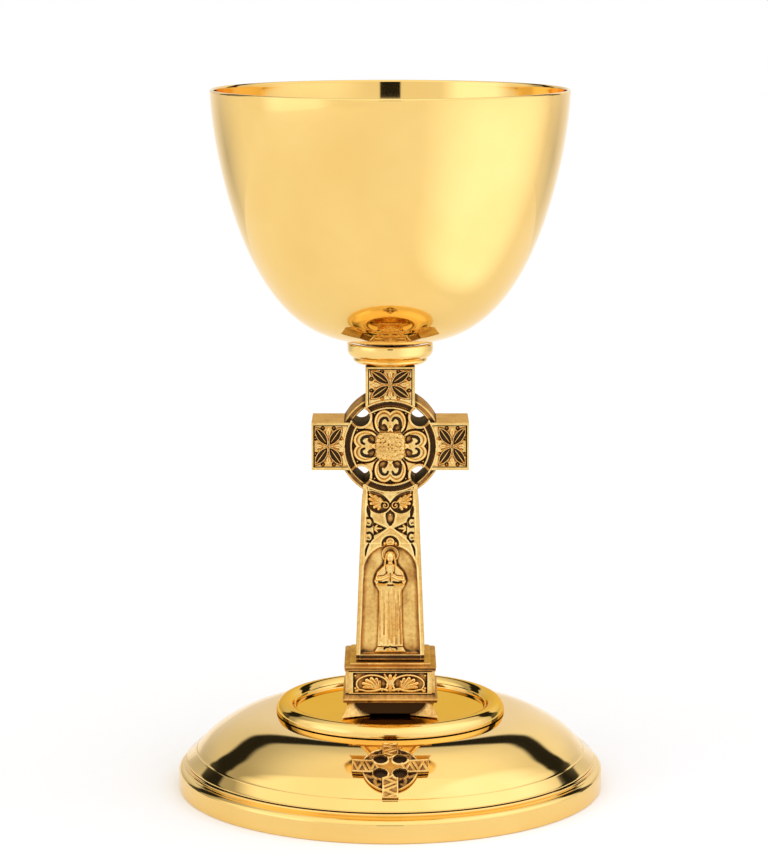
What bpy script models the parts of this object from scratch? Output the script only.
"""Communion chalice: gilt cup on a ringed high-cross stem, square pedestal and domed round foot.

Everything is stacked on one threaded rod: pan and foot below, pedestal and cross in the middle,
and the cup, which screws down on the rod's upper end. Z is up, the foot stands on Z = 0 and the
decorated front faces -Y.
"""
import math

import bmesh
import bpy
from mathutils import Matrix, Vector

MM = 0.001

# ---- driving dimensions, in millimetres ----
HEIGHT = 222.0                      # foot to lip
CUP_R, CUP_BOTTOM, CUP_WALL = 56.0, 142.8, 1.2
CUP_BELLY, CUP_ROUND = 1.53, 0.334  # shape exponents of the bowl
BOWL_FLOOR = 1.3
BOSS_R, BOSS_Z, SPIGOT_R, SPIGOT_Z = 9.2, 137.8, 5.0, 129.0
THREAD_HOLE_R = 3.25
COLLAR_BORE_R, COLLAR_Z = 9.6, 136.5

CROSS_TOP, CROSS_Z = 136.2, 111.2   # top of the upper arm, middle of the ring
ARM_HALF_W, ARM_HALF_H, ARM_REACH, ARM_DEPTH = 7.7, 7.5, 24.6, 9.5
RING_R, RING_INNER_R, RING_DEPTH = 16.3, 14.2, 8.1
EYE_R, EYE_OUT = 2.9, 9.2           # the four openings beside the arms
SHAFT_Z, SHAFT_HALF_TOP, SHAFT_DEPTH_TOP, SHAFT_HALF_BASE = 42.9, 8.05, 8.8, 10.8
PANEL_SINK, PANEL_EDGE = 0.6, 1.3

CAP_Z, CAP_STEP_Z, CAP_TOP, CAP_HALF, CAP_STEP_HALF = 40.2, 41.9, 42.6, 14.5, 12.6
DIE_Z, DIE_TOP, DIE_HALF, DIE_PANEL = 32.9, 39.9, 13.1, 14.1
PLINTH_TOP, PLINTH_EDGE_Z, PLINTH_FOOT_Z, PLINTH_Z = 32.6, 31.6, 30.0, 25.3
PLINTH_HALF, PLINTH_CORE = 15.0, 11.8
PLINTH_FOOT_OUT, PLINTH_FOOT_IN, PLINTH_FOOT_TOP = 15.3, 6.4, (13.8, 8.6)

PAN_Z, PAN_UNDER, PAN_SPIGOT_R, PAN_RING_R = 25.0, 23.5, 34.0, 36.4
DOME = [(36.4, 23.9), (42, 23.4), (47, 22.2), (51, 20.5), (54.5, 18.5), (57.5, 16.4),
        (60, 14.1), (62, 11.9), (65.2, 9.3)]
DOME_WALL, DOME_SEAT_Z, DOME_EDGE_Z = 1.25, 23.2, 9.1
RIM_R, RIM_INNER_R, RIM_LEDGE_Z = 67.7, 62.2, 8.8

ROD_R, ROD_BORE_R, ROD_Z, ROD_TOP = 3.0, 3.5, 11.5, 140.9
DOWEL_R, DOWEL_HOLE_R, DOWEL_X = 1.0, 1.3, 7.5
STUD_R, STUD_HOLE_R, STUD_X = 0.8, 1.15, 7.6
EMBLEM_S, EMBLEM_ARM, EMBLEM_WIDTH, EMBLEM_RING_R = 20.0, 11.0, 5.0, 8.3
EMBLEM_LIFT, EMBLEM_THICK = 0.35, 1.3

GOLD, ANTIQUE, STEEL = (0.93, 0.62, 0.22), (0.72, 0.46, 0.15), (0.60, 0.58, 0.53)


# ---- scene and materials ----
def clear_scene():
    for obj in list(bpy.data.objects):
        bpy.data.objects.remove(obj, do_unlink=True)


def collection(name):
    col = bpy.data.collections.new(name)
    bpy.context.scene.collection.children.link(col)
    return col


def finish(obj, colour, roughness):
    mat = bpy.data.materials.new(obj.name)
    mat.use_nodes = True
    bsdf = mat.node_tree.nodes["Principled BSDF"]
    bsdf.inputs["Base Color"].default_value = (*colour, 1)
    bsdf.inputs["Metallic"].default_value = 1.0
    bsdf.inputs["Roughness"].default_value = roughness
    obj.data.materials.append(mat)
    return obj


# ---- mesh helpers ----
def link(name, mesh, col=None):
    obj = bpy.data.objects.new(name, mesh)
    (col or PARTS).objects.link(obj)
    return obj


def from_bmesh(name, bm, col=None):
    """Make an object of a bmesh that was built in millimetres."""
    bmesh.ops.scale(bm, vec=(MM, MM, MM), verts=bm.verts)
    mesh = bpy.data.meshes.new(name)
    bm.to_mesh(mesh)
    bm.free()
    return link(name, mesh, col)


def lathe(name, profile, steps=64, closed=True, col=None):
    """Turn an (r, z) outline about Z; the outline runs down its outer side."""
    edges = [(i, i + 1) for i in range(len(profile) - 1)]
    if closed:
        edges.append((len(profile) - 1, 0))
    mesh = bpy.data.meshes.new(name)
    mesh.from_pydata([(r * MM, 0, z * MM) for r, z in profile], edges, [])
    obj = link(name, mesh, col)
    mod = obj.modifiers.new("turn", "SCREW")
    mod.steps = mod.render_steps = steps
    mod.use_merge_vertices = True
    mod.merge_threshold = 0.00001
    mod.use_smooth_shade = True
    return obj


def block(name, low, high, z_low, z_high, col=None):
    """A cube whose lower and upper faces are the rectangles (x0, y0, x1, y1) low and high."""
    bm = bmesh.new()
    bmesh.ops.create_cube(bm, size=2)
    for v in bm.verts:
        x0, y0, x1, y1 = high if v.co.z > 0 else low
        v.co = (x1 if v.co.x > 0 else x0, y1 if v.co.y > 0 else y0, z_high if v.co.z > 0 else z_low)
    return from_bmesh(name, bm, col)


def cylinder(name, radius, low, high, sides=32, centre=(0, 0), col=None):
    bm = bmesh.new()
    place = Matrix.Translation((*centre, (low + high) / 2))
    bmesh.ops.create_cone(bm, cap_ends=True, segments=sides, radius1=radius, radius2=radius,
                          depth=high - low, matrix=place)
    return from_bmesh(name, bm, col)


def square(half):
    return (-half, -half, half, half)


def face_front(obj, z=CROSS_Z):
    """Swing a piece modelled in plan up to the front: its plan Y becomes height, its Z faces -Y."""
    obj.data.transform(Matrix.Rotation(math.pi / 2, 4, "X"))
    obj.data.transform(Matrix.Translation((0, 0, z * MM)))
    return obj


def boolean(obj, tool, operation="DIFFERENCE"):
    mod = obj.modifiers.new(tool.name, "BOOLEAN")
    mod.operation = operation
    mod.solver = "EXACT"
    mod.object = tool
    tool.hide_render = True
    tool.display_type = "WIRE"
    return obj


def drill(obj, x, radius, low, high, sides=32):
    return boolean(obj, cylinder(obj.name + "_hole", radius, low, high, sides, (x, 0), CUTTERS))


# ---- cup and collar ----
def bowl_curve(radius, bottom, steps):
    points = []
    for i in range(steps + 1):
        a = math.pi / 2 * i / steps
        drop = math.sin(a) ** (2 / CUP_BELLY)
        points.append((radius * max(math.cos(a), 0) ** (2 * CUP_ROUND), HEIGHT - (HEIGHT - bottom) * drop))
    points[-1] = (0, bottom)
    return points


def cup_bowl():
    outer = bowl_curve(CUP_R, CUP_BOTTOM, 12)
    inner = bowl_curve(CUP_R - CUP_WALL, CUP_BOTTOM + BOWL_FLOOR, 11)
    outer[0] = (CUP_R, HEIGHT - 0.4)
    lip = [(CUP_R - CUP_WALL + 0.3, HEIGHT), (CUP_R - 0.3, HEIGHT)]
    inner[0] = (CUP_R - CUP_WALL, HEIGHT - 0.4)
    return finish(lathe("cup_bowl", inner[::-1] + lip + outer, 60, closed=False), GOLD, 0.12)


def cup_boss():
    top = CUP_BOTTOM - 0.3
    profile = [(0, top), (BOSS_R, top), (BOSS_R, BOSS_Z), (SPIGOT_R, BOSS_Z), (SPIGOT_R, SPIGOT_Z),
               (THREAD_HOLE_R, SPIGOT_Z), (THREAD_HOLE_R, ROD_TOP + 0.3), (0, ROD_TOP + 0.3)]
    return finish(lathe("cup_boss", profile, 32, closed=False), GOLD, 0.3)


def washer(name, bore, radius, low, high, colour=STEEL):
    profile = [(bore, high), (radius, high), (radius, low), (bore, low)]
    return finish(lathe(name, profile, 32), colour, 0.4)


def neck_collar():
    profile = [(COLLAR_BORE_R, 142.5), (12.8, 142.5), (13.4, 142.0), (13.5, 141.1), (13.3, 140.1),
               (12.8, 139.3), (11.9, 138.6), (11.1, 138.3), (11.0, 137.6), (10.6, 136.9),
               (10.2, COLLAR_Z), (COLLAR_BORE_R, COLLAR_Z)]
    return finish(lathe("neck_collar", profile, 40), GOLD, 0.15)


# ---- cross ----
def cross_shaft():
    d = ARM_DEPTH
    top = (-SHAFT_HALF_TOP, -SHAFT_DEPTH_TOP, SHAFT_HALF_TOP, SHAFT_DEPTH_TOP)
    body = block("cross_shaft", square(SHAFT_HALF_BASE), top, SHAFT_Z, CROSS_Z)
    disc = cylinder("cross_disc", RING_INNER_R + 0.5, -RING_DEPTH, RING_DEPTH, 60, col=CUTTERS)
    boolean(body, face_front(disc), "UNION")
    upper = (-ARM_HALF_W, -d, ARM_HALF_W, d)
    boolean(body, block("cross_upper", upper, upper, CROSS_Z - 12, CROSS_TOP, CUTTERS), "UNION")
    side = (-ARM_REACH, -d, ARM_REACH, d)
    arms = block("cross_arms", side, side, CROSS_Z - ARM_HALF_H, CROSS_Z + ARM_HALF_H, CUTTERS)
    boolean(body, arms, "UNION")
    for sx in (-1, 1):
        for sy in (-1, 1):
            eye = cylinder("cross_eye", EYE_R, -12, 12, 24, (EYE_OUT * sx, EYE_OUT * sy), CUTTERS)
            boolean(body, face_front(eye))
    boolean(body, face_front(cross_ring()), "UNION")
    for side in (-1, 1):
        sink_panels(body, side)
    drill(body, 0, ROD_BORE_R, SHAFT_Z - 1, CROSS_TOP + 1)
    drill(body, 0, SPIGOT_R + 0.5, SPIGOT_Z - 0.5, CROSS_TOP + 1)
    for x in (-DOWEL_X, DOWEL_X):
        drill(body, x, DOWEL_HOLE_R, SHAFT_Z - 1, 46.3, 16)
    return finish(body, ANTIQUE, 0.32)


def cross_ring():
    """The ring that joins the arms; it flattens the outer side of the four openings."""
    profile = [(RING_INNER_R, RING_DEPTH), (RING_R, RING_DEPTH),
               (RING_R, -RING_DEPTH), (RING_INNER_R, -RING_DEPTH)]
    ring = lathe("cross_ring", profile, 60, col=CUTTERS)
    bake(ring)
    return ring


def sink_panels(body, side):
    """Shallow recesses on the front (-1) and back (+1): three arms, the medallion and the niche."""
    face, edge = ARM_DEPTH - PANEL_SINK, PANEL_EDGE
    y0, y1 = sorted((side * face, side * (ARM_DEPTH + 1)))
    high = (-ARM_HALF_W + edge, y0, ARM_HALF_W - edge, y1)
    boolean(body, block("panel_upper", high, high, CROSS_Z + 14.6, CROSS_TOP - edge, CUTTERS))
    for x0, x1 in ((-ARM_REACH + edge, -14.6), (14.6, ARM_REACH - edge)):
        arm = (x0, y0, x1, y1)
        boolean(body, block("panel_arm", arm, arm, CROSS_Z - ARM_HALF_H + edge,
                              CROSS_Z + ARM_HALF_H - edge, CUTTERS))
    z0, z1 = sorted((-side * (face - 0.3), -side * 11))
    disc = cylinder("panel_medallion", 8.4, z0, z1, col=CUTTERS)
    boolean(body, face_front(disc))
    low = sorted((side * (SHAFT_HALF_BASE - 0.9), side * 14))
    high = sorted((side * (SHAFT_DEPTH_TOP - 0.2), side * 14))
    niche = block("panel_niche", (-8.4, low[0], 8.4, low[1]), (-6.6, high[0], 6.6, high[1]),
                    46.6, 92.0, CUTTERS)
    boolean(body, niche)


def rosette(name, turn):
    profile = [(0, 10.3), (1.4, 10.2), (2.4, 9.9), (3.2, 10.0), (4.2, 9.7),
               (4.65, 9.3), (4.65, 9.0), (0, 9.0)]
    obj = lathe(name, profile, 28, closed=False)
    obj.location.z = CROSS_Z * MM
    obj.rotation_euler = (math.pi / 2, 0, turn)
    return finish(obj, ANTIQUE, 0.35)


# ---- pedestal ----
def pedestal_cap():
    body = block("pedestal_cap", square(CAP_HALF), square(CAP_HALF), CAP_Z, CAP_STEP_Z)
    step = block("cap_step", square(CAP_STEP_HALF + 0.4), square(CAP_STEP_HALF),
                 CAP_STEP_Z - 0.5, CAP_TOP, CUTTERS)
    boolean(body, step, "UNION")
    drill(body, 0, ROD_BORE_R, CAP_Z - 1, CAP_TOP + 1)
    for x in (-DOWEL_X, DOWEL_X):
        drill(body, x, DOWEL_HOLE_R, CAP_Z - 1, CAP_TOP + 1, 16)
    return finish(body, ANTIQUE, 0.32)


def pedestal_die():
    long_x = (-DIE_PANEL, -DIE_HALF, DIE_PANEL, DIE_HALF)
    long_y = (-DIE_HALF, -DIE_PANEL, DIE_HALF, DIE_PANEL)
    body = block("pedestal_die", long_x, long_x, DIE_Z, DIE_TOP)
    boolean(body, block("die_panels", long_y, long_y, DIE_Z, DIE_TOP, CUTTERS), "UNION")
    drill(body, 0, ROD_BORE_R, DIE_Z - 1, DIE_TOP + 1)
    for x in (-DOWEL_X, DOWEL_X):
        drill(body, x, DOWEL_HOLE_R, 37.7, DIE_TOP + 1, 16)
    return finish(body, ANTIQUE, 0.32)


def plinth_foot(sx, sy):
    """A flared corner foot: narrower and set in at the top."""
    def corner(outer, inner):
        x0, x1 = sorted((sx * outer, sx * inner))
        y0, y1 = sorted((sy * outer, sy * inner))
        return x0, y0, x1, y1
    return block("plinth_foot", corner(PLINTH_FOOT_OUT, PLINTH_FOOT_IN), corner(*PLINTH_FOOT_TOP),
                 PLINTH_Z, PLINTH_FOOT_Z + 0.4, CUTTERS)


def pedestal_plinth():
    body = block("pedestal_plinth", square(PLINTH_HALF), square(PLINTH_HALF), PLINTH_FOOT_Z, PLINTH_EDGE_Z)
    boolean(body, block("plinth_slope", square(PLINTH_HALF - 0.05), square(DIE_PANEL),
                          PLINTH_EDGE_Z - 0.3, PLINTH_TOP, CUTTERS), "UNION")
    boolean(body, block("plinth_core", square(PLINTH_CORE), square(PLINTH_CORE),
                          PLINTH_Z + 0.5, PLINTH_FOOT_Z + 0.5, CUTTERS), "UNION")
    for sx in (-1, 1):
        for sy in (-1, 1):
            boolean(body, plinth_foot(sx, sy), "UNION")
    drill(body, 0, ROD_BORE_R, PLINTH_Z - 1, PLINTH_TOP + 1)
    for x in (-DOWEL_X, DOWEL_X):
        drill(body, x, DOWEL_HOLE_R, PLINTH_Z - 1, 29.3, 16)
    return finish(body, ANTIQUE, 0.32)


# ---- foot ----
def foot_pan():
    profile = [(ROD_BORE_R, PAN_Z), (29.6, PAN_Z), (30.3, 25.4), (30.9, 26.8), (32.0, 27.7), (33.5, 27.9),
               (34.9, 27.4), (35.9, 26.3), (PAN_RING_R, 24.9), (PAN_RING_R, 24.2), (PAN_SPIGOT_R, 24.2),
               (PAN_SPIGOT_R, PAN_UNDER), (ROD_BORE_R, PAN_UNDER)]
    body = lathe("foot_pan", profile, 56)
    for x in (-DOWEL_X, DOWEL_X):
        drill(body, x, DOWEL_HOLE_R, PAN_UNDER - 1, PAN_Z + 1, 16)
    return finish(body, GOLD, 0.12)


def dome_normals():
    """Outward normal of the dome's outline at each of its points."""
    normals = []
    for i in range(len(DOME)):
        (r0, z0), (r1, z1) = DOME[max(i - 1, 0)], DOME[min(i + 1, len(DOME) - 1)]
        normals.append(Vector((z0 - z1, r1 - r0)).normalized())
    return normals


def foot_dome():
    seat = [(ROD_BORE_R, DOME_SEAT_Z), (PAN_SPIGOT_R + 0.3, DOME_SEAT_Z), (PAN_SPIGOT_R + 0.3, DOME[0][1])]
    under = [(r - DOME_WALL * n.x, z - DOME_WALL * n.y) for (r, z), n in zip(DOME, dome_normals())]
    under = under[1:-1][::-1]
    edge = [(DOME[-1][0], DOME_EDGE_Z), (63.4, DOME_EDGE_Z)]
    inside = [(35.6, 22.3), (34.2, 21.9), (ROD_BORE_R, 21.9)]
    body = lathe("foot_dome", seat + DOME + edge + under + inside, 60)
    for x in (-STUD_X, STUD_X):
        hole = cylinder("stud_hole", STUD_HOLE_R, -4, 3, 16, col=CUTTERS)
        boolean(body, on_dome(hole, x))
    return finish(body, GOLD, 0.12)


def foot_rim():
    profile = [(RIM_INNER_R, RIM_LEDGE_Z), (65.3, RIM_LEDGE_Z), (65.7, 8.3), (65.9, 7.6), (66.5, 7.4),
               (67.2, 7.0), (67.6, 6.3), (RIM_R, 5.5), (RIM_R, 0.5), (67.2, 0), (RIM_INNER_R, 0)]
    return finish(lathe("foot_rim", profile, 60), GOLD, 0.12)


# ---- emblem on the dome ----
def dome_at(s):
    """Point and normal of the dome's outline at arc length s from its inner end."""
    normals = dome_normals()
    for (a, b, na, nb) in zip(DOME, DOME[1:], normals, normals[1:]):
        step = math.dist(a, b)
        if s <= step or b == DOME[-1]:
            t = s / step
            return Vector(a).lerp(Vector(b), t), na.lerp(nb, t).normalized()
        s -= step


def wrap(x, slope, lift):
    """Lay (x across, slope upward, lift outward) over the front of the dome."""
    point, normal = dome_at(EMBLEM_S - slope)
    a = x / point.x
    r = point.x + normal.x * lift
    return Vector((r * math.sin(a), -r * math.cos(a), point.y + normal.y * lift))


def on_dome(obj, x):
    """Stand a piece modelled along Z on the dome, beside the emblem's middle."""
    foot, tip = wrap(x, 0, 0), wrap(x, 0, 1)
    turn = Vector((0, 0, 1)).rotation_difference(tip - foot).to_matrix().to_4x4()
    obj.data.transform(Matrix.Translation(foot * MM) @ turn)
    return obj


def emblem_outline_mesh():
    """Flat ringed cross as a bmesh, made by joining its bars and ring."""
    w, reach = EMBLEM_WIDTH / 2, EMBLEM_ARM
    body = cylinder("emblem_flat", EMBLEM_RING_R, 0.2, EMBLEM_THICK - 0.3, 36, col=CUTTERS)
    for bar in ((-w, -reach, w, reach), (-reach, -w, reach, w)):
        boolean(body, block("emblem_bar", bar, bar, 0, EMBLEM_THICK, CUTTERS), "UNION")
    for sx in (-1, 1):
        for sy in (-1, 1):
            boolean(body, cylinder("emblem_eye", 1.45, -1, 3, 16, (4.25 * sx, 4.25 * sy), CUTTERS))
    mesh = bpy.data.meshes.new_from_object(body.evaluated_get(bpy.context.evaluated_depsgraph_get()))
    bm = bmesh.new()
    bm.from_mesh(mesh)
    body.hide_render = True
    return bm


def emblem_cross():
    bm = emblem_outline_mesh()
    bmesh.ops.remove_doubles(bm, verts=bm.verts, dist=0.00001)
    for axis in ((1, 0, 0), (0, 1, 0)):
        for i in range(-2, 3):
            cut = Vector(axis) * (i * EMBLEM_ARM / 2.8 * MM)
            bmesh.ops.bisect_plane(bm, geom=bm.verts[:] + bm.edges[:] + bm.faces[:], dist=0.000001,
                                   plane_co=cut, plane_no=axis)
    for v in bm.verts:
        x, y, z = v.co / MM
        v.co = wrap(x, y, EMBLEM_LIFT + z) * MM
    mesh = bpy.data.meshes.new("emblem_cross")
    bm.to_mesh(mesh)
    bm.free()
    obj = bpy.data.objects.new("emblem_cross", mesh)
    PARTS.objects.link(obj)
    return finish(obj, ANTIQUE, 0.35)


def emblem_fixings(name, x):
    stud = cylinder("emblem_stud_" + name, STUD_R, -5.0, 0.15, 16)
    finish(on_dome(stud, x), STEEL, 0.4)
    nut = cylinder("emblem_nut_" + name, 1.9, -3.4, -2.0, 6)
    drill(nut, 0, STUD_R + 0.25, -4, -1, 16)
    bake(nut)
    finish(on_dome(nut, x), STEEL, 0.4)


def bake(obj):
    """Replace an object's mesh by its modified shape, so that it can be moved as a mesh."""
    shape = bpy.data.meshes.new_from_object(obj.evaluated_get(bpy.context.evaluated_depsgraph_get()))
    shape.name = obj.name
    obj.modifiers.clear()
    obj.data = shape


# ---- rod and fixings ----
def rod_and_fixings():
    profile = [(0, ROD_TOP), (ROD_R - 0.5, ROD_TOP), (ROD_R, ROD_TOP - 0.5), (ROD_R, ROD_Z + 0.5),
               (ROD_R - 0.5, ROD_Z), (0, ROD_Z)]
    finish(lathe("tie_rod", profile, 24, closed=False), STEEL, 0.35)
    washer("seat_washer", SPIGOT_R + 0.4, 9.0, CROSS_TOP + 0.3, BOSS_Z - 0.3)
    washer("spreader_washer", ROD_BORE_R, 14.0, 20.2, 21.6)
    washer("lock_washer", ROD_BORE_R, 5.6, 18.9, 19.9)
    nut = cylinder("tie_nut", 5.77, 13.7, 18.6, 6)
    drill(nut, 0, ROD_R + 0.3, 13, 19)
    finish(nut, STEEL, 0.4)
    for name, x in (("left", -DOWEL_X), ("right", DOWEL_X)):
        finish(cylinder("dowel_" + name, DOWEL_R, 38.0, 46.0, 16, (x, 0)), STEEL, 0.4)
        finish(cylinder("plinth_pin_" + name, DOWEL_R, 23.6, 29.0, 16, (x, 0)), STEEL, 0.4)
        emblem_fixings(name, math.copysign(STUD_X, x))


clear_scene()
PARTS = collection("communion_chalice")
CUTTERS = collection("cutters")
CUTTERS.hide_render = True

cup_bowl()
cup_boss()
neck_collar()
cross_shaft()
rosette("rosette_front", 0)
rosette("rosette_back", math.pi)
pedestal_cap()
pedestal_die()
pedestal_plinth()
foot_pan()
foot_dome()
foot_rim()
emblem_cross()
rod_and_fixings()
